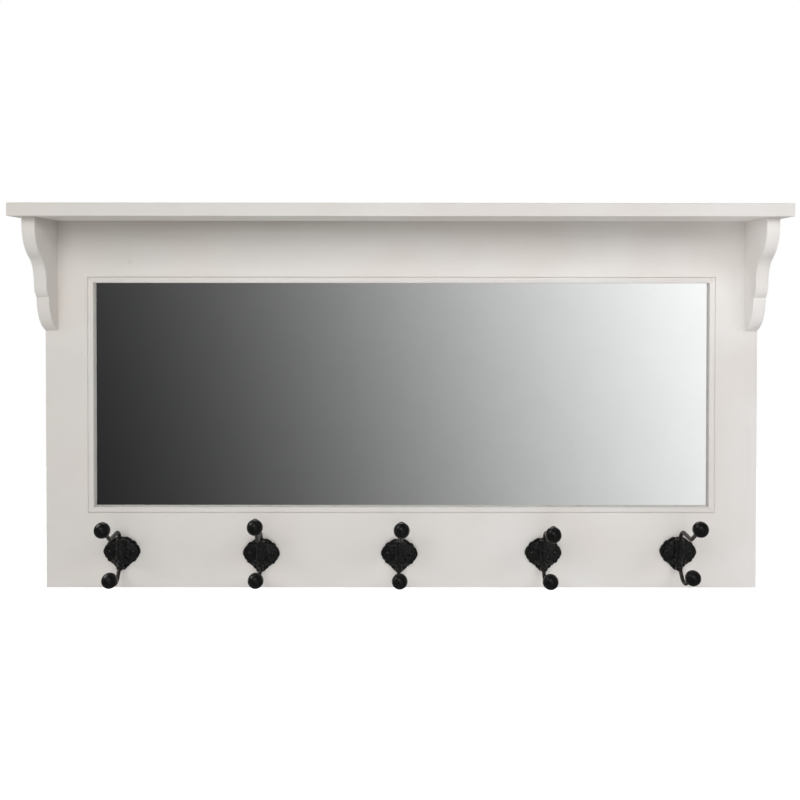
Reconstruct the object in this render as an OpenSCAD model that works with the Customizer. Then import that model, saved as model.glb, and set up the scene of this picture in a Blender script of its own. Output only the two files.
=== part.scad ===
// Wall mirror with a display shelf, two ogee corbels and five double coat hooks.
//
// X runs to the right, Y runs into the wall and Z runs up. The wall is the plane Y = 0 and the
// panel stands in front of it, on the -Y side. The origin is on the wall, midway between the
// round entries of the two keyhole hangers that carry the mirror.

/* [Panel] */
// Width over the two stiles
panel_w = 920; // [800:1:1100]
// Height of the panel, from its lower edge to the shelf
panel_h = 475; // [420:1:600]
// Thickness of the stiles and rails
board_t = 16; // [15:0.5:22]
// Width of each upright stile
stile_w = 54; // [48:1:80]
// Height of the rail above the mirror
top_rail_h = 72; // [60:1:110]
// Height of the rail that carries the hooks
bottom_rail_h = 97; // [85:1:140]
// Radius of the panel's eased outer edges
panel_ease = 0.8; // [0.25:0.05:2]

/* [Shelf] */
// Depth of the shelf, from the wall to its front edge
shelf_d = 107; // [101:1:160]
// Thickness of the shelf
shelf_t = 16; // [14:0.5:25]
// How far the shelf runs past the panel at each end
shelf_overhang = 13; // [0:0.5:40]
// Radius of the shelf's eased edges
shelf_ease = 1; // [0.5:0.25:4]

/* [Corbels] */
// Thickness of each corbel
corbel_t = 16; // [12:0.5:25]
// How far each corbel stands out from the panel, under the shelf
corbel_d = 78.3; // [65:0.1:82]
// Straight nose under the shelf
corbel_nose = 9.5; // [6:0.5:24]
// Height of the ogee between nose and waist
corbel_ogee_h = 69; // [50:1:90]
// Radius of the full upper curve of the ogee
corbel_belly_r = 45; // [25:0.5:48]
// Depth of the corbel at its waist
corbel_waist_d = 39.5; // [34:0.5:50]
// Height of the straight waist
corbel_waist_h = 3; // [2:1:20]
// Depth of the corbel under the small round below its waist
corbel_heel_d = 30.5; // [22:0.5:33]
// Height of that small round
corbel_round_h = 17; // [10:0.5:20]
// Height of the straight part below the small round
corbel_heel_h = 2; // [1:0.5:12]
// Height of the last curve, which runs back to the panel
corbel_foot_h = 41; // [30:1:60]

/* [Mirror and bead] */
// Width of the mitred bead round the mirror
bead_w = 8; // [6:0.5:14]
// How far the bead stands proud of the panel
bead_proud = 1; // [0.25:0.25:3]
// Radius on the bead's two front edges
bead_round = 1.25; // [0.5:0.25:2]
// Width of the narrow sunk quirk between bead and panel
quirk_w = 1.6; // [0.8:0.2:2.4]
// Depth of the quirk below the panel's face
quirk_d = 2; // [1:0.25:3]
// Depth of the glass behind the panel's face
glass_recess = 6; // [5:0.5:7]
// Thickness of the mirror glass
glass_t = 3; // [2:0.5:4]
// Thickness of the backing sheet
backing_t = 3; // [2:0.5:3]
// Gap all round the glass and the backing sheet
glass_gap = 1; // [0.5:0.25:2]

/* [Hooks] */
// Distance from the panel's sides to the end hooks; the five hooks divide the rest evenly
hook_inset = 100; // [85:1:130]
// Height of the hook plates' screws above the panel's lower edge
hook_h = 46; // [36:1:52]
// Width of a hook plate
plate_w = 47.5; // [40:0.5:54]
// Thickness of the plate's flange
flange_t = 2.4; // [1.5:0.1:3.5]
// Height of the plate's domed field above the panel
dome_h = 7.5; // [6:0.5:9]
// Width of the flange that shows at either side of the domed field
rim_w = 2.6; // [1.4:0.1:3.4]
// Distance between the two screws of a plate
screw_pitch = 30; // [26:0.5:34]
// Diameter of the bent rod
rod_dia = 4.8; // [4:0.1:5.4]
// Distance from the panel to the rod's axis where it runs through the plate
rod_stand = 10.5; // [9.5:0.25:12]
// Diameter of the balls
ball_dia = 19.5; // [16:0.5:22]
// Height of the rod's hump above the screws, where its run to the front begins
hump_h = 31.8; // [29:0.2:35]
// Height of that run's low end, where the upper arm turns up
run_h = 29.9; // [27:0.1:34]
// Distance from the panel to that low end
run_d = 56; // [48:1:62]
// Distance from the panel to the upper ball's centre
upper_d = 91; // [84:1:100]
// Height of the upper ball's centre above the screws
upper_h = 51; // [46:1:60]
// Distance of the rod's bend at the plate's foot below the screws
foot_drop = 17.3; // [15.5:0.1:19]
// Distance from the panel to the lowest corner of the lower arm
cradle_d = 28; // [26:0.5:30]
// Distance of that corner below the screws
cradle_drop = 35.5; // [33:0.5:38]
// Distance from the panel to the lower ball's centre
lower_d = 62.4; // [58:0.2:72]
// Distance of the lower ball's centre below the screws
lower_drop = 18; // [14:1:20]

/* [Fixings] */
// Distance between the two keyhole hangers
hanger_pitch = 406.4; // [300:0.2:500]
// Radius of a hanger's round entry
hanger_entry_r = 5; // [4:0.25:6]
// Length of a hanger plate
hanger_len = 46; // [42:1:52]
// Thickness of a hanger plate
hanger_t = 1.6; // [1:0.1:2.5]
// Diameter of the wooden dowels
dowel_dia = 8; // [6:0.5:9]
// Length of the dowels between stiles and rails
frame_dowel_len = 32; // [24:1:34]
// Length of the dowels between panel and shelf
shelf_dowel_len = 28; // [22:1:30]

/* [Hidden] */
// How far each plate sits from its even place, to the right and up
hook_drift = [[-1.6, 1.4], [-1.3, -1], [-2.7, -1.4], [3.5, -0.2], [-1.9, 1.2]];
// How far each rod sits to the right of its plate's middle and above its usual height
rod_set = [[-0.4, -0.9], [0.4, 0.7], [0, 0.2], [-0.1, 0.5], [0.5, -0.4]];
// Degrees that each plate and each rod leans to the right
plate_lean = [0.4, 2, 1.5, -0.1, 1.8];
rod_lean = [0.7, 1.5, 1.4, 2, 0.9];
// Degrees that each rod's upper and lower arm is turned to the right
upper_turn = [1.4, 2.7, 1.8, -0.7, 1.3];
lower_turn = [2.9, 2.3, 1.8, 2.3, 2.5];
// How far the upper and the lower ball of each hook sit above their usual height
arm_set = [[-0.6, -0.9], [3.8, -0.1], [1.1, 0], [-5.8, -2.1], [0.4, 2.1]];

// Scallops of the right half of a hook plate as [x, z, radius], on a plate scallop_w wide
scallops = [
    [0, 12.6, 6.7], [5.5, 13.4, 5.6], [8.5, 12.1, 5.2], [13.7, 9.1, 5.2], [16.8, 3.9, 5.6],
    [16.6, 0.3, 7.2], [16.2, -3.5, 5.9], [14.8, -9.1, 3.9], [9.6, -11, 5.1], [5.5, -15.2, 4.9],
    [1.6, -17.9, 5.7]
];
scallop_w = 47.6;
plate_k = plate_w / scallop_w;
// A low lobe at the outer end of each scallop: its radii at the panel and at its top, how far it
// rises above the flange, and its distance from the plate's edge
lobe_r = [3.4, 1.5];
lobe_rise = 1;
lobe_inset = 0.2;

// Central boss of a plate: it sleeves the rod from the plate's top edge down to a round end
boss_rise = 18.2;
boss_fall = 2.6;
boss_r = [5.6, 6.3];
boss_back = 1.8;
boss_top = boss_rise * plate_k;
boss_low = -boss_fall * plate_k;
boss_stand = rod_stand - boss_back;
// Knuckle at the plate's tip, where the rod comes out, and the petals above it
knuckle_fall = 18.2;
knuckle_r = 4.7;
knuckle_z = -knuckle_fall * plate_k;
neck_r = [4.2, 5.2];
petals = [[5.2, -9.8, 6.4, 4.4], [10, -11.6, 4.4, 2.6]];
bud = [0, -10.6, 12.2, 2.9];
screw_boss_r = 4.4;
screw_boss_h = dome_h - 0.8;

// Hook screws
hook_screw_r = 1.75;
hook_screw_head_r = 3.5;
hook_screw_head_h = 2;
hook_screw_cap_r = 3;
hook_screw_rise = 1.1;
hook_screw_lap = 0.2;
hook_screw_len = 19;
cross_w = 0.9;
cross_deep = 1.2;

// Bends of the rod: at the hump, the upper arm, the plate's foot and the cradle
hump_r = 16;
arm_r = 10;
foot_r = 12;
cradle_r = 16;
bend_swell = 0.02;
bend_lap = 0.3;
// Length of the stretch inside the boss where the rod's two arms meet
rod_middle = 6;
// The nub that each upper ball keeps on top, how high it stands, and how far it leans back
nub_r = 5;
nub_rise = [0.4, 0.9, 0.9, 1.1, 0.2];
nub_lean = 24;

// Corbel screws, driven from the back of the stile
corbel_screw_r = 2;
corbel_screw_head_r = 4;
corbel_screw_head_h = 2.4;
corbel_screw_len = 40;
corbel_screw_drops = [30, 82];
corbel_hole_gap = 0.2;

// Hangers: a round-ended plate with a keyhole, over a routed pocket
hanger_w = 18;
hanger_slot_r = 2.5;
hanger_slot_len = 11;
hanger_pocket_d = 8;
hanger_pocket_gap = 2.5;
hanger_screw_r = 1.5;
hanger_screw_head_r = 3;
hanger_screw_head_h = 1.4;
hanger_screw_len = 12;
hanger_screw_inset = 5;
// The keyhole's round entry lies below the middle of its plate
hanger_entry_drop = 5;

// Points that hold the backing sheet, and the pins of the bead
point_w = 12;
point_len = 14;
point_bite = 6;
point_t = 0.6;
pin_r = 0.6;
pin_len = 16;
pin_sink = 1;
pin_depth = 3;
shelf_dowel_bite = 10;
shelf_dowel_x = [90, 270];
round_fn = 48;
arc_steps = 12;

opening_w = panel_w - 2 * stile_w;
opening_h = panel_h - top_rail_h - bottom_rail_h;
opening_mid = bottom_rail_h + opening_h / 2;
shelf_w = panel_w + 2 * shelf_overhang;
hook_pitch = (panel_w / 2 - hook_inset) / 2;
face_y = -board_t;
glass_y = face_y + glass_recess;
backing_y = glass_y + glass_t;
point_y = backing_y + backing_t;
hanger_z = panel_h - top_rail_h / 2 - hanger_entry_drop;
rod_r = rod_dia / 2;
ball_r = ball_dia / 2;

$fn = round_fn;

// ---------------------------------------------------------------- helpers

// Heights are drawn from the panel's lower edge and moved here to the hangers' height
module hung() {
    translate([0, 0, -hanger_z]) children();
}

// Draws its children at both sides of the middle plane
module both_sides() {
    children();
    mirror([1, 0, 0]) children();
}

// Turns a flat drawing of [forward, up] round to the plane X = 0, so that it faces the room
module side_on() {
    rotate([90, 0, -90]) children();
}

// A rectangle from the origin with all corners rounded
module eased_rectangle(w, h, r) {
    translate([r, 0]) square([w - 2 * r, h]);
    translate([0, r]) square([w, h - 2 * r]);
    for (x = [r, w - r], y = [r, h - r]) translate([x, y]) circle(r);
}

// A slot with round ends, along Y between two heights
module slot(r, low, high) {
    translate([-r, low]) square([2 * r, high - low]);
    translate([0, low]) circle(r);
    translate([0, high]) circle(r);
}

// A board in the plane of the panel, by its left edge, lower edge, width and height
module board(x, z, w, h) {
    translate([x, face_y, z]) cube([w, board_t, h]);
}

// A rectangle from the origin with the two corners of its far end rounded
module eased_end(w, h, r) {
    square([w - r, h]);
    translate([0, r]) square([w, h - 2 * r]);
    for (y = [r, h - r]) translate([w - r, y]) circle(r);
}

// The space of the whole panel, with its lower edges eased
module eased_foot() {
    rotate([90, 0, 90]) linear_extrude(panel_w, center = true) {
        translate([face_y, panel_h]) rotate(-90) eased_end(panel_h, board_t, panel_ease);
    }
}

// A wood screw that points forward from a flush head at the origin
module screw(r, head_r, head_h, len) {
    rotate([90, 0, 0]) {
        cylinder(h = len, r = r);
        cylinder(h = head_h, r1 = head_r, r2 = r);
    }
}

// The cross slot in a screw's head, at the origin and cut forward
module cross_slot(reach) {
    for (a = [0, 90]) {
        rotate([0, a, 0]) translate([-reach, -cross_deep, -cross_w / 2]) {
            cube([2 * reach, 2 * cross_deep, cross_w]);
        }
    }
}

// ---------------------------------------------------------------- shelf and corbels

module shelf_board() {
    color("gainsboro") hung() difference() {
        translate([0, 0, panel_h]) intersection() {
            translate([-shelf_w / 2, 0, 0]) rotate([90, 0, 90]) linear_extrude(shelf_w) {
                translate([-shelf_d, 0]) eased_rectangle(shelf_d, shelf_t, shelf_ease);
            }
            rotate([90, 0, 0]) linear_extrude(shelf_d) {
                translate([-shelf_w / 2, 0]) eased_rectangle(shelf_w, shelf_t, shelf_ease);
            }
        }
        both_sides() shelf_dowel_set();
    }
}

// Turn of an arc that starts upright and moves aside by w over a height h, and its radius
function arc_turn(w, h) = 2 * atan(w / h);
function arc_radius(w, h) = h / sin(arc_turn(w, h));

// Points down an arc from a point where it is upright, curving back by w over a height h
function arc_back(top, w, h) = let (r = arc_radius(w, h), t = arc_turn(w, h))
    [for (i = [1:arc_steps]) top + [-r * (1 - cos(t * i / arc_steps)), -r * sin(t * i / arc_steps)]];

// The outline of a corbel as [forward, up] from its top corner at the panel
function corbel_outline() = let (
        ogee_w = corbel_d - corbel_waist_d,
        turn = arc_turn(ogee_w, corbel_ogee_h),
        hollow_r = arc_radius(ogee_w, corbel_ogee_h) - corbel_belly_r,
        nose = [corbel_d, -corbel_nose],
        waist = [corbel_waist_d, -corbel_nose - corbel_ogee_h],
        round_top = waist - [0, corbel_waist_h],
        heel = [corbel_heel_d, round_top.y - corbel_round_h],
        foot = heel - [0, corbel_heel_h]
    ) concat(
        [[0, 0], [corbel_d, 0], nose],
        [for (i = [1:arc_steps]) let (a = turn * i / arc_steps)
            nose + corbel_belly_r * [cos(a) - 1, -sin(a)]],
        [for (i = [arc_steps - 1:-1:0]) let (a = turn * i / arc_steps)
            waist + hollow_r * [1 - cos(a), sin(a)]],
        [round_top],
        arc_back(round_top, corbel_waist_d - corbel_heel_d, corbel_round_h),
        [foot],
        arc_back(foot, corbel_heel_d, corbel_foot_h)
    );

module corbel() {
    color("gainsboro") hung() difference() {
        translate([panel_w / 2, face_y, panel_h]) side_on() {
            linear_extrude(corbel_t) polygon(corbel_outline());
        }
        corbel_screw_set(0);
    }
}

module corbel_screw_set(gap) {
    for (drop = corbel_screw_drops) translate([panel_w / 2 - corbel_t / 2, 0, panel_h - drop]) {
        screw(corbel_screw_r + gap, corbel_screw_head_r, corbel_screw_head_h, corbel_screw_len);
    }
}

module corbel_screws() {
    color("silver") hung() both_sides() difference() {
        corbel_screw_set(0);
        for (drop = corbel_screw_drops) {
            translate([panel_w / 2 - corbel_t / 2, 0, panel_h - drop]) {
                cross_slot(corbel_screw_head_r / 2);
            }
        }
    }
}

// ---------------------------------------------------------------- stiles and rails

module stile() {
    color("gainsboro") hung() difference() {
        intersection() {
            translate([opening_w / 2, face_y, 0]) linear_extrude(panel_h) {
                eased_end(stile_w, board_t, panel_ease);
            }
            eased_foot();
        }
        frame_dowel_set();
        shelf_dowel_set();
        corbel_screw_set(corbel_hole_gap);
        bead_pin_set();
        glazing_point_set();
    }
}

module top_rail() {
    color("gainsboro") hung() difference() {
        board(-opening_w / 2, panel_h - top_rail_h, opening_w, top_rail_h);
        both_sides() frame_dowel_set();
        both_sides() shelf_dowel_set();
        both_sides() bead_pin_set();
        both_sides() glazing_point_set();
        both_sides() hanger_pocket();
    }
}

module bottom_rail() {
    color("gainsboro") hung() difference() {
        intersection() {
            board(-opening_w / 2, 0, opening_w, bottom_rail_h);
            eased_foot();
        }
        both_sides() frame_dowel_set();
        both_sides() bead_pin_set();
        both_sides() glazing_point_set();
        for (i = [1:5]) as_plate(i) sunk_screw_pair();
    }
}

module upright_dowel(len) {
    cylinder(h = len, d = dowel_dia);
}

// Dowels of the right-hand joints between stile and rails
module frame_dowel_set() {
    for (z = [0.25, 0.75] * bottom_rail_h, x = [opening_w / 2 - frame_dowel_len / 2]) {
        translate([x, face_y / 2, z]) rotate([0, 90, 0]) upright_dowel(frame_dowel_len);
    }
    for (z = [0.25, 0.75] * top_rail_h, x = [opening_w / 2 - frame_dowel_len / 2]) {
        translate([x, face_y / 2, panel_h - z]) {
            rotate([0, 90, 0]) upright_dowel(frame_dowel_len);
        }
    }
}

// Upright dowels of the right half, from the panel's top edge into the shelf
module shelf_dowel_set() {
    for (x = concat(shelf_dowel_x, [panel_w / 2 - stile_w / 2])) {
        translate([x, face_y / 2, panel_h + shelf_dowel_bite - shelf_dowel_len]) {
            upright_dowel(shelf_dowel_len);
        }
    }
}

module frame_dowels() {
    color("burlywood") hung() both_sides() frame_dowel_set();
}

module shelf_dowels() {
    color("burlywood") hung() both_sides() shelf_dowel_set();
}

// ---------------------------------------------------------------- bead, glass and backing

// Section across a bead as [depth, distance from the panel's edge]
module bead_section() {
    depth = glass_recess + bead_proud;
    translate([face_y + quirk_d, 0]) square([glass_recess - quirk_d, bead_w]);
    translate([face_y - bead_proud, quirk_w]) {
        eased_rectangle(depth, bead_w - quirk_w, bead_round);
        translate([depth / 2, 0]) square([depth / 2, bead_w - quirk_w]);
    }
}

// One mitred strip along X, with its outer edge on Z = 0 and its inner edge above it
module bead_strip(len) {
    deep = 4 * board_t;
    difference() {
        intersection() {
            translate([-len / 2, 0, 0]) rotate([90, 0, 90]) linear_extrude(len) bead_section();
            rotate([90, 0, 0]) linear_extrude(deep, center = true) polygon([
                [-len / 2, 0], [len / 2, 0], [len / 2 - bead_w, bead_w], [bead_w - len / 2, bead_w]
            ]);
        }
        edge_pins(len);
    }
}

// Places along one edge of the opening, as distances from its middle
function edge_places(len) = let (n = len > 1.5 * opening_h ? 4 : 2)
    [for (i = [0:n - 1]) len * ((i + 0.5) / n - 0.5)];

// Pins that run through a strip on the lower edge into the board below it
module edge_pins(len) {
    for (x = edge_places(len)) translate([x, face_y + pin_depth, bead_w - pin_sink - pin_len]) {
        cylinder(h = pin_len, r = pin_r);
    }
}

// Flat steel points on the lower edge: they lie on the backing sheet and bite into the board
module edge_points(len) {
    for (x = edge_places(len)) translate([x + 2 * point_w, point_y + point_t, 0]) {
        rotate([90, 0, 0]) linear_extrude(point_t) polygon([
            [-point_w / 2, 0], [0, -point_bite], [point_w / 2, 0],
            [point_w / 3, point_len - point_bite], [-point_w / 3, point_len - point_bite]
        ]);
    }
}

// Draws its children on the lower, upper and right-hand edge of the mirror's opening
module on_lower_edge() {
    translate([0, 0, bottom_rail_h]) children();
}

module on_upper_edge() {
    translate([0, 0, panel_h - top_rail_h]) mirror([0, 0, 1]) children();
}

module on_right_edge() {
    translate([opening_w / 2, 0, opening_mid]) rotate([0, -90, 0]) children();
}

module bead_pin_set() {
    on_lower_edge() edge_pins(opening_w);
    on_upper_edge() edge_pins(opening_w);
    on_right_edge() edge_pins(opening_h);
}

module glazing_point_set() {
    on_lower_edge() edge_points(opening_w);
    on_upper_edge() edge_points(opening_w);
    on_right_edge() edge_points(opening_h);
}

module bottom_bead() {
    color("gainsboro") hung() on_lower_edge() bead_strip(opening_w);
}

module top_bead() {
    color("gainsboro") hung() on_upper_edge() bead_strip(opening_w);
}

module side_bead() {
    color("gainsboro") hung() on_right_edge() bead_strip(opening_h);
}

module sheet(y, t) {
    w = opening_w - 2 * glass_gap;
    h = opening_h - 2 * glass_gap;
    hung() translate([-w / 2, y, opening_mid - h / 2]) cube([w, t, h]);
}

module mirror_glass() {
    color("silver") sheet(glass_y, glass_t);
}

module mirror_backing() {
    color("peru") sheet(backing_y, backing_t);
}

module bead_pins() {
    color("silver") hung() union() {
        on_lower_edge() edge_pins(opening_w);
        on_upper_edge() edge_pins(opening_w);
        both_sides() on_right_edge() edge_pins(opening_h);
    }
}

module glazing_points() {
    color("silver") hung() union() {
        on_lower_edge() edge_points(opening_w);
        on_upper_edge() edge_points(opening_w);
        both_sides() on_right_edge() edge_points(opening_h);
    }
}

// ---------------------------------------------------------------- keyhole hangers

// Draws its children at the right-hand hanger, with the keyhole's entry at the origin
module at_hanger() {
    translate([hanger_pitch / 2, 0, hanger_z]) children();
}

// Height of the middle of a hanger plate above its keyhole's entry, and reach of its screws
hanger_mid = hanger_entry_drop;
hanger_reach = hanger_len / 2 - hanger_w / 2;
hanger_screw_reach = hanger_len / 2 - hanger_screw_inset;

module hanger_outline(grow) {
    translate([0, hanger_mid]) slot(hanger_w / 2 + grow, -hanger_reach, hanger_reach);
}

module hanger_screw_pair() {
    for (s = [-1, 1]) translate([0, 0, hanger_mid + s * hanger_screw_reach]) {
        screw(hanger_screw_r, hanger_screw_head_r, hanger_screw_head_h, hanger_screw_len);
    }
}

// Routed pocket behind a hanger: a seat for the plate, room for a screw's head, pilot holes
module hanger_pocket() {
    at_hanger() {
        rotate([90, 0, 0]) linear_extrude(hanger_t) hanger_outline(0);
        rotate([90, 0, 0]) linear_extrude(hanger_t + hanger_pocket_d) {
            slot(hanger_entry_r + hanger_pocket_gap, 0, hanger_slot_len);
        }
        hanger_screw_pair();
    }
}

module hanger() {
    color("silver") hung() at_hanger() difference() {
        rotate([90, 0, 0]) linear_extrude(hanger_t) difference() {
            hanger_outline(0);
            circle(hanger_entry_r);
            slot(hanger_slot_r, 0, hanger_slot_len);
        }
        hanger_screw_pair();
    }
}

module hanger_screws() {
    color("silver") hung() both_sides() at_hanger() difference() {
        hanger_screw_pair();
        for (s = [-1, 1]) translate([0, 0, hanger_mid + s * hanger_screw_reach]) {
            cross_slot(hanger_screw_head_r / 2);
        }
    }
}

// ---------------------------------------------------------------- hooks

// Draws its children on the panel's face at a hook's place
module at_hook(n) {
    drift = hook_drift[n - 1];
    translate([(n - 3) * hook_pitch + drift.x, face_y, hook_h + drift.y]) children();
}

// Draws its children as a hook's plate hangs
module as_plate(n) {
    at_hook(n) rotate([0, plate_lean[n - 1], 0]) children();
}

// Draws its children as one arm of a hook's rod stands: turned about the upright stretch that
// the plate sleeves, which leans by itself
module as_arm(n, turn) {
    set = rod_set[n - 1];
    at_hook(n) translate([set.x, -rod_stand, set.y]) rotate([0, rod_lean[n - 1], 0]) {
        rotate([0, 0, turn[n - 1]]) translate([0, rod_stand, 0]) children();
    }
}

// Signed turn at a corner of a flat path, and the length that a bend takes off each side of it
function bend_turn(a, b, c) = let (u = b - a, v = c - b) atan2(cross(u, v), u * v);
function bend_cut(turn, r) = r * tan(abs(turn) / 2);

// A round bar in the plane Z = 0 along a path of points, each inner corner bent to its radius.
// The bar swells by a hair in its bends, and each straight runs a little way into them.
module bent_bar(path, bends, r) {
    last = len(path) - 1;
    turns = [for (i = [0:last]) i == 0 || i == last ? 0
        : bend_turn(path[i - 1], path[i], path[i + 1])];
    cuts = [for (i = [0:last]) i == 0 || i == last ? 0
        : bend_cut(turns[i], bends[i - 1]) - bend_lap];
    for (i = [0:last - 1]) {
        step = path[i + 1] - path[i];
        way = step / norm(step);
        heading = atan2(way.y, way.x);
        start = path[i] + way * cuts[i];
        translate([start.x, start.y, 0]) rotate([0, 90, heading]) {
            cylinder(h = norm(step) - cuts[i] - cuts[i + 1], r = r);
        }
        if (i < last - 1) {
            side = sign(turns[i + 1]);
            corner = path[i + 1] - way * (cuts[i + 1] + bend_lap);
            centre = corner + side * bends[i] * [-way.y, way.x];
            from = side > 0 ? heading - 90 : heading + 90 + turns[i + 1];
            translate([centre.x, centre.y, 0]) rotate([0, 0, from]) {
                rotate_extrude(angle = abs(turns[i + 1])) {
                    translate([bends[i], 0]) circle(r + bend_swell);
                }
            }
        }
    }
}

// Centres of a hook's two balls, and the path of each arm of its rod, as [forward, up]
function upper_centre(n) = [upper_d, upper_h + arm_set[n - 1][0]];
function lower_centre(n) = [lower_d, -lower_drop + arm_set[n - 1][1]];
function upper_path(n) = [
    upper_centre(n), [run_d, run_h], [rod_stand, hump_h], [rod_stand, rod_middle / 4]
];
function lower_path(n) = [
    [rod_stand, -rod_middle / 4], [rod_stand, -foot_drop], [cradle_d, -cradle_drop], lower_centre(n)
];

module upper_arm(n) {
    as_arm(n, upper_turn) side_on() bent_bar(upper_path(n), [arm_r, hump_r], rod_r);
}

module lower_arm(n) {
    as_arm(n, lower_turn) side_on() bent_bar(lower_path(n), [foot_r, cradle_r], rod_r);
}

// The whole rod: its arms meet inside the boss, in a stretch that is thicker by a hair
module rod_shape(n) {
    upper_arm(n);
    lower_arm(n);
    as_arm(n, upper_turn) translate([0, -rod_stand, -rod_middle / 2]) {
        cylinder(h = rod_middle, r = rod_r + bend_swell);
    }
}

module hook_rod(n) {
    color("dimgray") hung() rod_shape(n);
}

// A ball is drilled as far as its centre, where the rod ends
module upper_ball(n) {
    centre = upper_centre(n);
    nub_z = ball_r + nub_rise[n - 1] - nub_r;
    color("black") hung() difference() {
        as_arm(n, upper_turn) translate([0, -centre.x, centre.y]) {
            sphere(ball_r);
            rotate([-nub_lean, 0, 0]) translate([0, 0, nub_z]) sphere(nub_r);
        }
        upper_arm(n);
    }
}

module lower_ball(n) {
    centre = lower_centre(n);
    color("black") hung() difference() {
        as_arm(n, lower_turn) translate([0, -centre.x, centre.y]) sphere(ball_r);
        lower_arm(n);
    }
}

// The scalloped outline of a plate, at a share of its full size
module plate_outline(share) {
    k = plate_k * share;
    right = [for (s = scallops) [s.x, s.y] * k];
    left = [for (i = [len(right) - 1:-1:1]) [-right[i].x, right[i].y]];
    polygon(concat(right, left));
    for (s = scallops, side = [-1, 1]) translate([side * s.x, s.y] * k) circle(s.z * k);
}

// A ball standing on a plate at [x, z, distance from the panel, radius], on both sides
module plate_ball(p) {
    for (side = [-1, 1]) translate([side * p[0] * plate_k, -p[2], p[1] * plate_k]) sphere(p[3]);
}

// The domed field of a plate: a cap of a large sphere cut to the outline inside the rim
module plate_dome() {
    half = plate_w / 2 + 1;
    rise = dome_h - flange_t + 0.2;
    r = (half * half + rise * rise) / (2 * rise);
    intersection() {
        rotate([90, 0, 0]) linear_extrude(dome_h + 1) plate_outline(1 - 2 * rim_w / plate_w);
        translate([0, r - dome_h, 0]) sphere(r, $fn = 96);
    }
}

// Low lobes that follow the scallops along a plate's edge
module plate_lobes() {
    for (s = scallops) {
        middle = [s.x, s.y] * plate_k;
        reach = norm(middle) + s.z * plate_k - lobe_r[0] - lobe_inset;
        spot = middle * reach / norm(middle);
        for (side = [-1, 1]) translate([side * spot.x, 0, spot.y]) rotate([90, 0, 0]) {
            cylinder(h = flange_t + lobe_rise, r1 = lobe_r[0], r2 = lobe_r[1]);
        }
    }
}

// Solid form of a plate before it is bored and its back is cut flat
module plate_casting() {
    rotate([90, 0, 0]) linear_extrude(flange_t) plate_outline(1);
    plate_dome();
    plate_lobes();
    translate([0, -boss_stand, boss_low]) {
        cylinder(h = boss_top - boss_low, r1 = boss_r[1], r2 = boss_r[0]);
        sphere(boss_r[1]);
    }
    translate([0, 0, knuckle_z]) {
        rotate([90, 0, 0]) cylinder(h = rod_stand, r = knuckle_r);
        translate([0, -rod_stand, 0]) sphere(knuckle_r);
    }
    translate([0, -boss_stand, knuckle_z]) {
        cylinder(h = boss_low - knuckle_z, r1 = neck_r[0], r2 = neck_r[1]);
    }
    for (p = petals) plate_ball(p);
    plate_ball(bud);
    for (side = [-1, 1]) translate([side * screw_pitch / 2, 0, 0]) {
        rotate([90, 0, 0]) cylinder(h = screw_boss_h, r = screw_boss_r);
    }
}

// The domed top of a hook screw's head, on a face at the origin and lapped into the head
module screw_cap() {
    r = (pow(hook_screw_cap_r, 2) + pow(hook_screw_rise, 2)) / (2 * hook_screw_rise);
    intersection() {
        translate([0, r - hook_screw_rise, 0]) sphere(r);
        translate([0, hook_screw_lap, 0]) rotate([90, 0, 0]) {
            cylinder(h = 2 * hook_screw_rise, r = 2 * hook_screw_cap_r);
        }
    }
}

// Draws its children on both screw bosses of a plate
module on_screw_bosses() {
    for (side = [-1, 1]) translate([side * screw_pitch / 2, -screw_boss_h, 0]) children();
}

// The parts of a plate's two screws that are sunk in its screw bosses and in the rail
module sunk_screw_pair() {
    on_screw_bosses() mirror([0, 1, 0]) {
        screw(hook_screw_r, hook_screw_head_r, hook_screw_head_h, hook_screw_len);
    }
}

module hook_plate(n) {
    color("dimgray") hung() difference() {
        as_plate(n) plate_casting();
        as_plate(n) translate([-plate_w, 0, -plate_w]) cube(2 * plate_w);
        rod_shape(n);
        as_plate(n) sunk_screw_pair();
    }
}

module hook_screws(n) {
    color("black") hung() as_plate(n) difference() {
        union() {
            sunk_screw_pair();
            on_screw_bosses() screw_cap();
        }
        on_screw_bosses() translate([0, -hook_screw_rise, 0]) cross_slot(hook_screw_head_r / 2);
    }
}

// ---------------------------------------------------------------- the pieces in place

shelf_board();
mirror([1, 0, 0]) corbel();  // left_corbel
corbel();  // right_corbel
mirror([1, 0, 0]) stile();  // left_stile
stile();  // right_stile
top_rail();
bottom_rail();
mirror([1, 0, 0]) side_bead();  // left_bead
side_bead();  // right_bead
top_bead();
bottom_bead();
mirror_glass();
mirror_backing();
glazing_points();
bead_pins();
frame_dowels();
shelf_dowels();
corbel_screws();
mirror([1, 0, 0]) hanger();  // left_hanger
hanger();  // right_hanger
hanger_screws();
hook_plate(1);  // hook_plate_1
hook_plate(2);  // hook_plate_2
hook_plate(3);  // hook_plate_3
hook_plate(4);  // hook_plate_4
hook_plate(5);  // hook_plate_5
hook_rod(1);  // hook_rod_1
hook_rod(2);  // hook_rod_2
hook_rod(3);  // hook_rod_3
hook_rod(4);  // hook_rod_4
hook_rod(5);  // hook_rod_5
upper_ball(1);  // upper_ball_1
upper_ball(2);  // upper_ball_2
upper_ball(3);  // upper_ball_3
upper_ball(4);  // upper_ball_4
upper_ball(5);  // upper_ball_5
lower_ball(1);  // lower_ball_1
lower_ball(2);  // lower_ball_2
lower_ball(3);  // lower_ball_3
lower_ball(4);  // lower_ball_4
lower_ball(5);  // lower_ball_5
hook_screws(1);  // hook_screws_1
hook_screws(2);  // hook_screws_2
hook_screws(3);  // hook_screws_3
hook_screws(4);  // hook_screws_4
hook_screws(5);  // hook_screws_5
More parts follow.
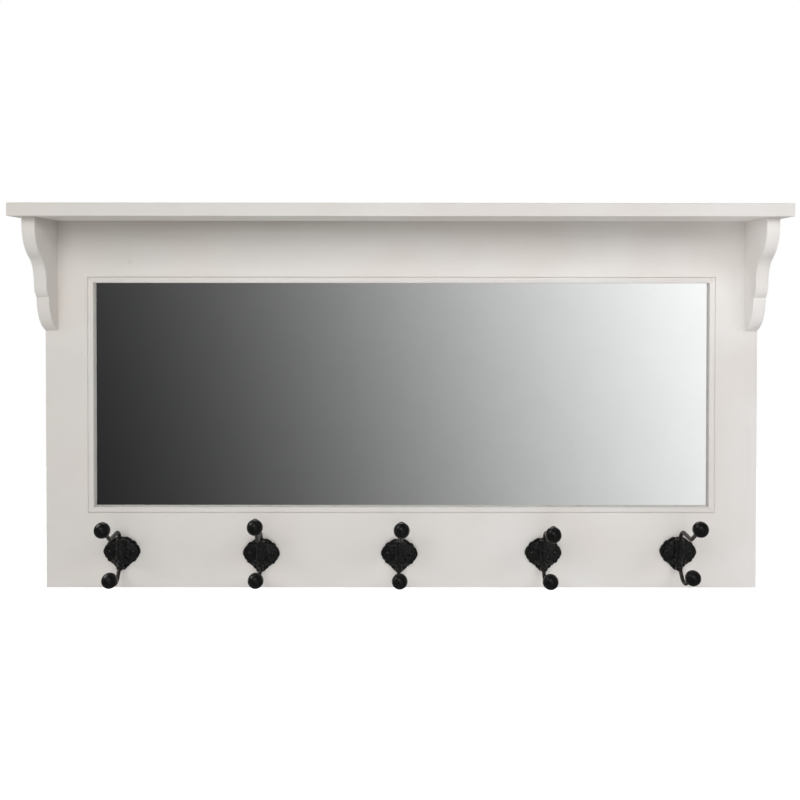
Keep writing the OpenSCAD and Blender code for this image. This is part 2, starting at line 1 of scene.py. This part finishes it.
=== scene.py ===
# Wall mirror with a display shelf and five coat hooks, in metres, in the frame of its CAD model:
# X runs to the right, Y into the wall and Z up. The origin is on the wall, midway between the
# round entries of the two hangers.
import math
import bmesh
import bpy
from mathutils import Matrix, Vector


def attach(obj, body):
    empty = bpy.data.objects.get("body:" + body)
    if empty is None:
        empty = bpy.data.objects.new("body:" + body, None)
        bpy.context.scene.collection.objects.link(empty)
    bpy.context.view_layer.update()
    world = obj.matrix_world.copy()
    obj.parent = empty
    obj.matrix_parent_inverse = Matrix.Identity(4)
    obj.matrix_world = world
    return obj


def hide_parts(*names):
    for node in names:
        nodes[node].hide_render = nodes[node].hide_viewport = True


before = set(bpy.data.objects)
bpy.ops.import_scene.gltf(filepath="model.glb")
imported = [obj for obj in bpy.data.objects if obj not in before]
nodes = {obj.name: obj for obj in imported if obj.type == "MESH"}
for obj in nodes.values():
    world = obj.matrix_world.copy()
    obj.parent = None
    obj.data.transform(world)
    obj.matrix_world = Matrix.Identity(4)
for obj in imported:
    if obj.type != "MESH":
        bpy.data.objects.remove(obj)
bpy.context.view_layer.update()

# ---------------------------------------------------------------- stiles and rails
# Four planed pine boards, dowelled edge to edge into one flat panel and then brush-painted
# off-white. The paint closes the joints and leaves only a trace of the grain and a small knot.

MM = 0.001
PANEL_W = 920 * MM
PANEL_H = 475 * MM
BOARD_T = 16 * MM
STILE_W = 54 * MM
TOP_RAIL_H = 72 * MM
BOTTOM_RAIL_H = 97 * MM
PANEL_FOOT = -434 * MM
PANEL_TOP = PANEL_FOOT + PANEL_H
FACE_Y = -BOARD_T

# The wash runs from darker at the left to lighter at the right: painted shade and painted light
SHADED_WASH_LEFT = "#dbd8d3"
LIT_WASH_RIGHT = "#eeebe8"
WORN_CREAM = "#c9c3b9"
ROSY = "#e0d6cf"
KNOT_BROWN = "#a3907a"
# Grey of the painted shade in the corner under the shelf
PAINTED_SHADE_GREY = "#a39c90"

# Sizes in the paint, and places on the panel, in millimetres
FIBRE_LEN = 140
FIBRE_W = 3
MOTTLE = 60
ROSY_PATCH = 110
BRUSH_TOOTH = 0.9
KNOT_X = -351
KNOT_UP = 422
KNOT_R = 3.4
# The painted shade under the shelf: its height, its darkest place across the panel and its reach
CORNER_SHADE = 15
DARKEST_SHADE_X = -157
SHADE_REACH = 490

# How strongly each of them shows; the painted shade's share under the shelf runs from its darkest
# place to its lightest
STREAKS = 0.06
CLOUDS = 0.1
ROSY_TINT = 0.3
KNOT_TINT = 0.14
PAINTED_SHADE = 0.42
SHADE_ENDS = (1.3, 0.35)


def linear(text):
    """A colour written as sRGB hex, in the linear values that a shader takes."""
    parts = [int(text[i:i + 2], 16) / 255 for i in (1, 3, 5)]
    return [c / 12.92 if c <= 0.04045 else ((c + 0.055) / 1.055) ** 2.4 for c in parts] + [1]


def add(tree, kind, inputs=None, **settings):
    """Adds a node with its settings; an input is a value or the output of another node."""
    made = tree.nodes.new("ShaderNode" + kind)
    for name, value in settings.items():
        setattr(made, name, value)
    for name, value in (inputs or {}).items():
        if isinstance(value, bpy.types.NodeSocket):
            tree.links.new(value, made.inputs[name])
        else:
            made.inputs[name].default_value = value
    return made


def compute(tree, operation, *values):
    """One step of arithmetic, such as ADD, on values or the outputs of other nodes."""
    return add(tree, "Math", dict(enumerate(values)), operation=operation).outputs[0]


def spread(tree, value, start, end, low=0, high=1):
    """Carries a value that runs from start to end to the range from low to high, and holds it
    there at both ends."""
    return add(tree, "MapRange", {0: value, 1: start, 2: end, 3: low, 4: high}).outputs[0]


def noise(tree, place, scale, detail, roughness=0.5):
    """Soft noise with so many patches to the millimetre, mostly between 0.3 and 0.7."""
    return add(tree, "TexNoise", {"Vector": place, "Scale": scale, "Detail": detail,
                                  "Roughness": roughness}).outputs[0]


def blend(tree, share, first, second):
    """Mixes two colours; each is sRGB hex or the output of another node."""
    first, second = [linear(c) if isinstance(c, str) else c for c in (first, second)]
    return add(tree, "Mix", {0: share, 6: first, 7: second}, data_type="RGBA").outputs[2]


def relief(tree, height, depth, strength, normal=None):
    """Raises a pattern by a depth in metres, over another relief where one is given."""
    inputs = {"Strength": strength, "Distance": depth, "Height": height}
    if normal:
        inputs["Normal"] = normal
    return add(tree, "Bump", inputs).outputs[0]


def start_material(name):
    """A new material, its tree and the place of each point on the object, in millimetres."""
    material = bpy.data.materials.new(name)
    material.use_nodes = True
    tree = material.node_tree
    tree.nodes.clear()
    place = add(tree, "TexCoord").outputs["Object"]
    in_mm = add(tree, "VectorMath", {0: place, "Scale": 1 / MM}, operation="SCALE").outputs[0]
    return material, tree, in_mm


def end_material(tree, inputs):
    """Closes a material with one surface that has these inputs."""
    surface = add(tree, "BsdfPrincipled", inputs)
    add(tree, "OutputMaterial", {"Surface": surface.outputs[0]})


def dress(material, *names):
    """Gives CAD pieces that stay as they are their finish."""
    for name in names:
        slots = nodes[name].data.materials
        slots.clear()
        slots.append(material)


def brushed_paint(name, fibre, lit_wash_right=LIT_WASH_RIGHT):
    """Off-white wash over pine whose fibres run along one axis, given as (x, y, z) sizes in mm.
    Its colour runs from darker at the left to lighter at the right as painted shade and light, and
    painted shade darkens the corner under the shelf, most of it left of the middle."""
    material, tree, place = start_material(name)
    across = add(tree, "VectorMath", {0: place, 1: fibre}, operation="DIVIDE").outputs[0]
    grain = noise(tree, across, 1, 5, 0.6)
    mottle = noise(tree, place, 1 / MOTTLE, 3)
    patch = noise(tree, place, 1 / ROSY_PATCH, 1)
    tooth = noise(tree, place, 1 / BRUSH_TOOTH, 2)
    x, _, z = add(tree, "SeparateXYZ", {0: place}).outputs

    # Darker at the left and lighter at the right: painted shade and painted light
    side = spread(tree, x, -PANEL_W / 2 / MM, PANEL_W / 2 / MM)
    colour = blend(tree, side, SHADED_WASH_LEFT, lit_wash_right)
    streaks = spread(tree, grain, 0.5, 0.8, 0, STREAKS)
    clouds = spread(tree, mottle, 0.35, 0.7, 0, CLOUDS)
    colour = blend(tree, compute(tree, "ADD", streaks, clouds), colour, WORN_CREAM)
    colour = blend(tree, spread(tree, patch, 0.42, 0.62, 0, ROSY_TINT), colour, ROSY)

    # Painted shade darkens the corner under the shelf, most strongly left of the middle
    under_shelf = PANEL_TOP / MM
    dust_and_shade = spread(tree, z, under_shelf - CORNER_SHADE, under_shelf - 1, 0, PAINTED_SHADE)
    on_panel = compute(tree, "LESS_THAN", z, under_shelf - 0.01)
    aside = compute(tree, "ABSOLUTE", compute(tree, "SUBTRACT", x, DARKEST_SHADE_X))
    thinning = spread(tree, aside, 0, SHADE_REACH, *SHADE_ENDS)
    dust_and_shade = compute(tree, "MULTIPLY", compute(tree, "MULTIPLY", dust_and_shade, on_panel), thinning)
    colour = blend(tree, dust_and_shade, colour, PAINTED_SHADE_GREY)

    knot = (KNOT_X, FACE_Y / MM, KNOT_UP + PANEL_FOOT / MM)
    away = add(tree, "VectorMath", {0: place, 1: knot}, operation="DISTANCE").outputs["Value"]
    ring = spread(tree, away, 0.4 * KNOT_R, 1.4 * KNOT_R, KNOT_TINT, 0)
    colour = blend(tree, ring, colour, KNOT_BROWN)

    brushed = compute(tree, "MULTIPLY_ADD", grain, 1.5, tooth)
    end_material(tree, {
        "Base Color": colour, "Roughness": spread(tree, tooth, 0, 1, 0.5, 0.62),
        "Normal": relief(tree, brushed, 0.04 * MM, 0.2), "IOR": 1.48, "Specular IOR Level": 0.3})
    return material


level_paint = brushed_paint("brushed_paint_on_level_pine", (FIBRE_LEN, FIBRE_W, FIBRE_W))
upright_paint = brushed_paint("brushed_paint_on_upright_pine", (FIBRE_W, FIBRE_W, FIBRE_LEN))
dress(upright_paint, "left_stile", "right_stile")
dress(level_paint, "top_rail", "bottom_rail")

# ---------------------------------------------------------------- dowels
# Beech pins, glued half into each board. They are out of sight inside the joints.

BEECH = "#d9b98c"
BEECH_FLECK = "#b58f60"
FLECKS_PER_MM = 0.8

material, tree, place = start_material("raw_beech")
fleck = noise(tree, place, FLECKS_PER_MM, 3)
end_material(tree, {"Base Color": blend(tree, fleck, BEECH, BEECH_FLECK), "Roughness": 0.7})
dress(material, "frame_dowels", "shelf_dowels")

# ---------------------------------------------------------------- shelf
# One planed pine board with softened edges, laid over the panel and the two brackets, and
# painted with them.

dress(level_paint, "shelf_board")

# ---------------------------------------------------------------- corbels
# Two brackets sawn from 16 mm pine to an ogee outline and sanded, so their sawn edges are
# slightly rounded. They stand under the shelf, screwed on through the stiles. Their wash is
# darker on the left one and lighter on the right one, as painted shade and painted light.

CORBEL_T = 16 * MM
CORBEL_D = 78.3 * MM
NOSE = 9.5 * MM
OGEE_H = 69 * MM
BELLY_R = 45 * MM
WAIST_D = 39.5 * MM
WAIST_H = 3 * MM
HEEL_D = 30.5 * MM
ROUND_H = 17 * MM
HEEL_H = 2 * MM
FOOT_H = 41 * MM
SANDED = 1 * MM
CURVE_STEPS = 28
HAIR = 0.01 * MM
REAL_EDGE = math.radians(38)
# The lighter wash at the corbels' right end: painted light on the right corbel
CORBEL_LIT_WASH = "#f3f0ed"

sawn_paint = brushed_paint("brushed_paint_on_sawn_pine", (FIBRE_W, FIBRE_W, FIBRE_LEN), CORBEL_LIT_WASH)


def close_mesh(shape, name):
    """Turns a finished bmesh into a mesh of that name."""
    mesh = bpy.data.meshes.new(name)
    shape.to_mesh(mesh)
    shape.free()
    return mesh


def add_piece(name, mesh, material, node):
    """Shows a mesh in the place of a CAD node, smooth but for its real edges."""
    mesh.materials.append(material)
    mesh.shade_smooth()
    mesh.set_sharp_from_angle(angle=REAL_EDGE)
    made = bpy.data.objects.new(name, mesh)
    bpy.context.scene.collection.objects.link(made)
    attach(made, "root")
    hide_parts(node)
    return made


def arc_down(start, width, height):
    """Points of an arc that leaves its start upright and curves back by a width over a height."""
    turn = 2 * math.atan(width / height)
    radius = height / math.sin(turn)
    return [(start[0] - radius * (1 - math.cos(turn * i / CURVE_STEPS)),
             start[1] - radius * math.sin(turn * i / CURVE_STEPS))
            for i in range(1, CURVE_STEPS + 1)]


def corbel_outline():
    """The bracket's outline as (forward, up) from its top corner at the panel."""
    turn = 2 * math.atan((CORBEL_D - WAIST_D) / OGEE_H)
    hollow_r = OGEE_H / math.sin(turn) - BELLY_R
    waist = (WAIST_D, -NOSE - OGEE_H)
    steps = [turn * i / CURVE_STEPS for i in range(1, CURVE_STEPS + 1)]
    belly = [(CORBEL_D + BELLY_R * (math.cos(a) - 1), -NOSE - BELLY_R * math.sin(a))
             for a in steps]
    hollow = [(waist[0] + hollow_r * (1 - math.cos(a)), waist[1] + hollow_r * math.sin(a))
              for a in reversed(steps[:-1])] + [waist]
    round_top = (WAIST_D, waist[1] - WAIST_H)
    small_round = arc_down(round_top, WAIST_D - HEEL_D, ROUND_H)
    foot = (HEEL_D, round_top[1] - ROUND_H - HEEL_H)
    return ([(0, 0), (CORBEL_D, 0), (CORBEL_D, -NOSE)] + belly + hollow + [round_top]
            + small_round + [foot] + arc_down(foot, HEEL_D, FOOT_H))


for side, node in ((-1, "left_corbel"), (1, "right_corbel")):
    shape = bmesh.new()
    outer = side * PANEL_W / 2
    corners = [shape.verts.new((outer, FACE_Y - d, PANEL_TOP + z)) for d, z in corbel_outline()]
    sawn = bmesh.ops.extrude_face_region(shape, geom=[shape.faces.new(corners)])["geom"]
    moved = [v for v in sawn if isinstance(v, bmesh.types.BMVert)]
    bmesh.ops.translate(shape, verts=moved, vec=(-side * CORBEL_T, 0, 0))
    bmesh.ops.recalc_face_normals(shape, faces=shape.faces)
    # The edges of the two flat cheeks are sanded, but for those against the shelf
    arrises = [e for e in shape.edges if abs(e.verts[0].co.x - e.verts[1].co.x) < HAIR
               and min(v.co.z for v in e.verts) < PANEL_TOP - HAIR]
    bmesh.ops.bevel(shape, geom=arrises, offset=SANDED, segments=3, profile=0.5, affect="EDGES",
                    clamp_overlap=True)
    add_piece(node + "_sawn", close_mesh(shape, node + "_sawn"), sawn_paint, node)

# ---------------------------------------------------------------- bead
# Four strips of small painted moulding, rounded on their front edges, mitred at the corners and
# pinned round the opening. A quirk parts them from the panel, nearly filled by the paint, and the
# mitres show as lines.

BEAD_W = 8 * MM
BEAD_PROUD = 1 * MM
BEAD_ROUND = 1.25 * MM
QUIRK_W = 1.1 * MM
QUIRK_D = 1.1 * MM
GLASS_RECESS = 6 * MM
MITRE_GAP = 0.06 * MM
# The sanded end of a strip, as (distance back from the mitre, depth below the moulding)
MITRE_SANDED = [(0.5 * MM, 0), (0.2 * MM, 0.125 * MM), (0, 0.5 * MM)]
OPENING_W = PANEL_W - 2 * STILE_W
OPENING_H = PANEL_H - TOP_RAIL_H - BOTTOM_RAIL_H
OPENING_MID = PANEL_FOOT + BOTTOM_RAIL_H + OPENING_H / 2


def bead_section():
    """Section across a strip as (depth behind the panel's face, distance from the opening)."""
    quarter = [math.radians(a) for a in range(0, 91, 15)]
    near = [(-BEAD_PROUD + BEAD_ROUND * (1 - math.sin(a)),
             QUIRK_W + BEAD_ROUND * (1 - math.cos(a))) for a in quarter]
    far = [(-BEAD_PROUD + BEAD_ROUND * (1 - math.cos(a)),
            BEAD_W - BEAD_ROUND * (1 - math.sin(a))) for a in quarter]
    return ([(GLASS_RECESS, 0), (QUIRK_D, 0), (QUIRK_D, QUIRK_W)] + near + far
            + [(GLASS_RECESS, BEAD_W)])


def mitred_strip(name, length, angle):
    """A strip on one side of the opening, turned to it from the lower edge."""
    section = bead_section()
    reach = OPENING_H / 2 if angle % 180 == 0 else OPENING_W / 2
    turn = Matrix.Translation((0, 0, OPENING_MID)) @ Matrix.Rotation(math.radians(angle), 4, "Y")
    shape = bmesh.new()
    loops = []
    for end, cuts in ((-1, MITRE_SANDED[::-1]), (1, MITRE_SANDED)):
        for back, sink in cuts:
            loops.append([shape.verts.new(turn @ Vector((
                end * (length / 2 - s - MITRE_GAP - back),
                FACE_Y + d + (sink if d < GLASS_RECESS / 2 else 0), s - reach)))
                for d, s in section])
    for near, far in zip(loops, loops[1:]):
        for i in range(len(section)):
            j = (i + 1) % len(section)
            shape.faces.new((near[i], near[j], far[j], far[i]))
    shape.faces.new(loops[0])
    shape.faces.new(reversed(loops[-1]))
    bmesh.ops.recalc_face_normals(shape, faces=shape.faces)
    return close_mesh(shape, name)


for node, length, angle, paint in (("bottom_bead", OPENING_W, 0, level_paint),
                                   ("left_bead", OPENING_H, 90, upright_paint),
                                   ("top_bead", OPENING_W, 180, level_paint),
                                   ("right_bead", OPENING_H, 270, upright_paint)):
    add_piece(node + "_moulding", mitred_strip(node + "_moulding", length, angle), paint, node)

# ---------------------------------------------------------------- mirror
# Float glass, silvered on its back. It reflects cleanly, with the faintest green cast and a
# trace of dust that softens the reflection.

SILVER = "#f4f6f5"
DUSTY = "#eceeed"
DUST_PATCH = 45
HAZE = 0.012

material, tree, place = start_material("silvered_float_glass")
dust_and_shade = noise(tree, place, 1 / DUST_PATCH, 6, 0.7)
end_material(tree, {"Base Color": blend(tree, dust_and_shade, SILVER, DUSTY), "Metallic": 1,
                    "Roughness": spread(tree, dust_and_shade, 0, 1, 0, HAZE)})
dress(material, "mirror_glass")

# ---------------------------------------------------------------- backing sheet
# A sheet of brown hardboard behind the glass: pressed fibre, smooth, a little shiny.

HARDBOARD = "#6b4a30"
HARDBOARD_DARK = "#4f3521"
FIBRES_PER_MM = 0.7
STAIN = 60

material, tree, place = start_material("pressed_hardboard")
fibre = noise(tree, place, FIBRES_PER_MM, 6, 0.75)
stain = noise(tree, place, 1 / STAIN, 2)
shade = spread(tree, compute(tree, "MULTIPLY_ADD", fibre, 0.6, stain), 0.55, 1.05)
end_material(tree, {"Base Color": blend(tree, shade, HARDBOARD_DARK, HARDBOARD),
                    "Roughness": 0.55, "Normal": relief(tree, fibre, 0.08 * MM, 0.4)})
dress(material, "mirror_backing")

# ---------------------------------------------------------------- hangers and small fixings
# Stamped keyhole plates let into the back of the top rail, their screws, the corbels' screws, the
# points that hold the backing sheet and the bead's pins: zinc-plated steel, bright with a soft
# haze.

ZINC = "#c9ccd0"
ZINC_DULL = "#a2a5a8"
SPANGLES_PER_MM = 0.6
CLOUDS_PER_MM = 0.25

material, tree, place = start_material("zinc_plated_steel")
spangles = add(tree, "TexVoronoi", {"Vector": place, "Scale": SPANGLES_PER_MM})
cloud = noise(tree, place, CLOUDS_PER_MM, 4)
end_material(tree, {"Base Color": blend(tree, cloud, ZINC, ZINC_DULL), "Metallic": 1,
                    "Roughness": spread(tree, spangles.outputs["Distance"], 0, 1, 0.28, 0.42)})
dress(material, "left_hanger", "right_hanger", "hanger_screws", "corbel_screws",
      "glazing_points", "bead_pins")

# ---------------------------------------------------------------- hook plates
# Sand-cast iron, lacquered black: the ornament is soft and uneven, the sand leaves a fine tooth
# all over, and the lacquer wears a little greyer on the high places.

LACQUER = "#080808"
LACQUER_WORN = "#1a1a19"
SAND_GRAIN = 0.5
SAND_DEPTH = 0.12 * MM
CAST_WAVE = 4
CAST_DEPTH = 1.6 * MM
WORN_PATCH = 7


def on_each_hook(kind):
    """The names of one kind of CAD piece on the five hooks, from left to right."""
    return ["%s_%d" % (kind, n) for n in range(1, 6)]


material, tree, place = start_material("black_lacquered_cast_iron")
sand = noise(tree, place, 1 / SAND_GRAIN, 3)
worn = noise(tree, place, 1 / WORN_PATCH, 3)
wave = relief(tree, noise(tree, place, 1 / CAST_WAVE, 2), CAST_DEPTH, 1)
end_material(tree, {"Base Color": blend(tree, worn, LACQUER, LACQUER_WORN),
                    "Roughness": spread(tree, worn, 0, 1, 0.2, 0.34),
                    "Normal": relief(tree, sand, SAND_DEPTH, 0.5, wave),
                    "Specular IOR Level": 0.26})
dress(material, *on_each_hook("hook_plate"))

# ---------------------------------------------------------------- hook rods
# Drawn steel rod, bent cold and blackened. The black is thin, so the rod looks grey-brown and
# takes a long highlight.

ROD_BLACK = "#22201e"
ROD_BARE = "#504c47"
SCUFF = 5

material, tree, place = start_material("blackened_steel_rod")
scuff = noise(tree, place, 1 / SCUFF, 5, 0.7)
bare = spread(tree, scuff, 0.4, 0.75)
end_material(tree, {"Base Color": blend(tree, bare, ROD_BLACK, ROD_BARE), "Metallic": 0.8,
                    "Roughness": spread(tree, scuff, 0, 1, 0.4, 0.52)})
dress(material, *on_each_hook("hook_rod"))

# ---------------------------------------------------------------- hook balls
# Turned balls, dipped in black enamel: a smooth coat with a slight orange peel, which shows one
# soft highlight.

ENAMEL = "#0b0b0b"
ENAMEL_WORN = "#181817"
ORANGE_PEEL = 1.6
PEEL_DEPTH = 0.08 * MM
RUBBED_PATCH = 9

material, tree, place = start_material("black_dipped_enamel")
peel = noise(tree, place, 1 / ORANGE_PEEL, 2)
worn = noise(tree, place, 1 / RUBBED_PATCH, 3)
end_material(tree, {"Base Color": blend(tree, worn, ENAMEL, ENAMEL_WORN),
                    "Roughness": spread(tree, worn, 0, 1, 0.22, 0.32),
                    "Normal": relief(tree, peel, PEEL_DEPTH, 0.25),
                    "Specular IOR Level": 0.16})
dress(material, *on_each_hook("upper_ball"), *on_each_hook("lower_ball"))

# The photographed mirror shows none of the hooks that stand in front of it, so glossy rays pass
# them
for name in on_each_hook("hook_rod") + on_each_hook("upper_ball") + on_each_hook("lower_ball"):
    nodes[name].visible_glossy = False

# ---------------------------------------------------------------- hook screws
# Black-oxide screws with crossed slots, rubbed a little brighter where the driver has turned
# them.

OXIDE = "#191817"
OXIDE_RUBBED = "#3c3a38"
RUB = 1.5

material, tree, place = start_material("black_oxide_screw")
rubbed = spread(tree, noise(tree, place, 1 / RUB, 4), 0.45, 0.8)
end_material(tree, {"Base Color": blend(tree, rubbed, OXIDE, OXIDE_RUBBED), "Metallic": 0.6,
                    "Roughness": 0.28})
dress(material, *on_each_hook("hook_screws"))

# ---------------------------------------------------------------- floor
# A plain pale floor, as far below the mirror as it is in a hall. It is seen as white, and keeps
# the shadow that falls on it.

FLOOR_Z = -1.95
FLOOR_HALF = 9
FLOOR_PALE = "#e6e6e6"
FLOOR_WHITE = 0.88


def seen_directly(tree):
    """1 for what the camera sees, straight on or through glass, and 0 for what lights the room."""
    ray = add(tree, "LightPath")
    return compute(tree, "MAXIMUM", ray.outputs["Is Camera Ray"],
                   ray.outputs["Is Transmission Ray"])


mesh = bpy.data.meshes.new("floor")
mesh.from_pydata([(x * FLOOR_HALF, y * FLOOR_HALF, FLOOR_Z) for x, y in
                  ((-1, -1), (1, -1), (1, 1), (-1, 1))], [], [(0, 1, 2, 3)])
floor = bpy.data.objects.new("floor", mesh)
floor.visible_glossy = False
bpy.context.scene.collection.objects.link(floor)
material, tree, _ = start_material("pale_floor")
matt = add(tree, "BsdfDiffuse", {"Color": linear(FLOOR_PALE)}).outputs[0]
white = add(tree, "Emission", {"Color": (1, 1, 1, 1), "Strength": FLOOR_WHITE}).outputs[0]
both = add(tree, "AddShader", {0: matt, 1: white}).outputs[0]
shown = add(tree, "MixShader", {0: seen_directly(tree), 1: matt, 2: both})
add(tree, "OutputMaterial", {"Surface": shown.outputs[0]})
mesh.materials.append(material)

# ---------------------------------------------------------------- studio
# Three large soft boxes high in front, three smaller ones nearer, one at each side and a low one
# for the shelf's underside, in a room that is dim on the left and bright on the right, as the
# mirror shows it.

LAMPS = [
    ("high_left_box", (-1.908, -3.305, 2.185), (1.3, 0.8), 15.4),
    ("high_middle_box", (-0.519, -3.694, 2.316), (1.3, 0.8), 15.8),
    ("high_right_box", (1.908, -3.442, 1.982), (1.3, 0.8), 19.6),
    ("near_left_box", (-0.535, -1.997, 0.552), (0.9, 0.6), 9.2),
    ("near_right_box", (0.52, -1.941, 0.695), (0.9, 0.6), 5.8),
    ("wide_right_box", (1.329, -1.584, 0.552), (0.9, 0.6), 5.6),
    ("left_side_box", (-2.6, -0.6, -0.25), (0.8, 0.8), 11.5),
    ("right_side_box", (2.6, -0.6, -0.25), (0.8, 0.8), 2.5),
    ("low_box", (0, -1.6, -1.75), (2.4, 1.0), 15.5),
]
AIM = Vector((0, 0, -0.2))

for name, place, size, watts in LAMPS:
    light = bpy.data.lights.new(name, "AREA")
    light.shape = "RECTANGLE"
    light.size, light.size_y = size
    light.energy = watts
    lamp = bpy.data.objects.new(name, light)
    lamp.location = place
    lamp.rotation_mode = "QUATERNION"
    lamp.rotation_quaternion = (AIM - Vector(place)).to_track_quat("-Z", "Y")
    lamp.visible_glossy = False
    bpy.context.scene.collection.objects.link(lamp)

# What the mirror shows: a steady rise from left to right, slower at both ends, and dimmer below.
# A direction's tone is MIDDLE + x (RISE - RISE_SLOWS x^2) + z (LIFT - LIFT_SLOWS x^2).
MIDDLE = 0.653
RISE = 1.478
RISE_SLOWS = 1.658
LIFT = 0.506
LIFT_SLOWS = 1.594
SIDE_REACH = 0.35
DOWN_REACH = -0.3
UP_REACH = 0.2
TONE_RANGE = (0.15, 1.05)
TONE_POWER = 2.2
# Beyond what the mirror shows the room is an even grey, with a window high on the left and the
# glow of the soft boxes high in front
ROOM_GREY = 0.22
GLOW = Vector((-0.12, -0.82, 0.56)).normalized()
GLOW_FOCUS = 45
GLOW_LEVEL = 9
WINDOW = Vector((-0.7, 0.1, 0.7)).normalized()
WINDOW_EDGE = (0.93, 0.98)
WINDOW_LEVEL = 9
MIRROR_VIEW_EDGE = (-0.9, -0.75)
# The wall side is lit by the room alone
FROM_BEHIND = 1.5

world = bpy.data.worlds.new("studio")
world.use_nodes = True
bpy.context.scene.world = world
tree = world.node_tree
tree.nodes.clear()
toward = add(tree, "TexCoord").outputs["Generated"]
x, y, z = add(tree, "SeparateXYZ", {0: toward}).outputs


def limit(value, low, high):
    """Holds a value of the world's tree between two others."""
    return add(tree, "Clamp", {0: value, 1: low, 2: high}).outputs[0]


def facing(way):
    """How nearly a ray of the world's tree runs one way, 1 at the most."""
    return add(tree, "VectorMath", {0: toward, 1: way}, operation="DOT_PRODUCT").outputs["Value"]


across = limit(x, -SIDE_REACH, SIDE_REACH)
up = limit(z, DOWN_REACH, UP_REACH)
square = compute(tree, "MULTIPLY", across, across)
rise = compute(tree, "MULTIPLY_ADD", square, -RISE_SLOWS, RISE)
lift = compute(tree, "MULTIPLY_ADD", square, -LIFT_SLOWS, LIFT)
tone = compute(tree, "MULTIPLY_ADD", across, rise, MIDDLE)
tone = compute(tree, "MULTIPLY_ADD", up, lift, tone)
room = compute(tree, "POWER", limit(tone, *TONE_RANGE), TONE_POWER)
glow = compute(tree, "POWER", compute(tree, "MAXIMUM", facing(GLOW), 0), GLOW_FOCUS)
glow = compute(tree, "MULTIPLY_ADD", glow, GLOW_LEVEL, ROOM_GREY)
window = spread(tree, facing(WINDOW), *WINDOW_EDGE, 0, WINDOW_LEVEL)
beyond = compute(tree, "ADD", glow, window)
outside = spread(tree, y, *MIRROR_VIEW_EDGE)
mirrored = add(tree, "Mix", {0: outside, 2: room, 3: beyond}, data_type="FLOAT").outputs[0]
behind = compute(tree, "MAXIMUM", compute(tree, "MULTIPLY", y, FROM_BEHIND), 0)
glossy = add(tree, "LightPath").outputs["Is Glossy Ray"]
level = add(tree, "Mix", {0: glossy, 2: behind, 3: mirrored}, data_type="FLOAT").outputs[0]
level = add(tree, "Mix", {0: seen_directly(tree), 2: level, 3: 1}, data_type="FLOAT").outputs[0]
sky = add(tree, "Background", {"Color": (1, 1, 1, 1), "Strength": level})
add(tree, "OutputWorld", {"Surface": sky.outputs[0]})

# ---------------------------------------------------------------- camera
# Straight on to the panel from a little below the origin, tipped down by less than a degree,
# with the frame shifted so that the mirror sits in it as photographed.

camera = bpy.data.cameras.new("camera")
camera.sensor_width = 36
camera.lens = 44.369
camera.shift_x = -0.01551
camera.shift_y = -0.12576
view = bpy.data.objects.new("camera", camera)
view.location = (0.01151, -1.290, -0.0426)
view.rotation_euler = (Matrix.Rotation(math.radians(-0.11154), 3, "Z")
                       @ Matrix.Rotation(math.radians(89.21618), 3, "X")
                       @ Matrix.Rotation(math.radians(0.04699), 3, "Z")).to_euler()
bpy.context.scene.collection.objects.link(view)
bpy.context.scene.camera = view
bpy.context.scene.view_settings.view_transform = "Standard"
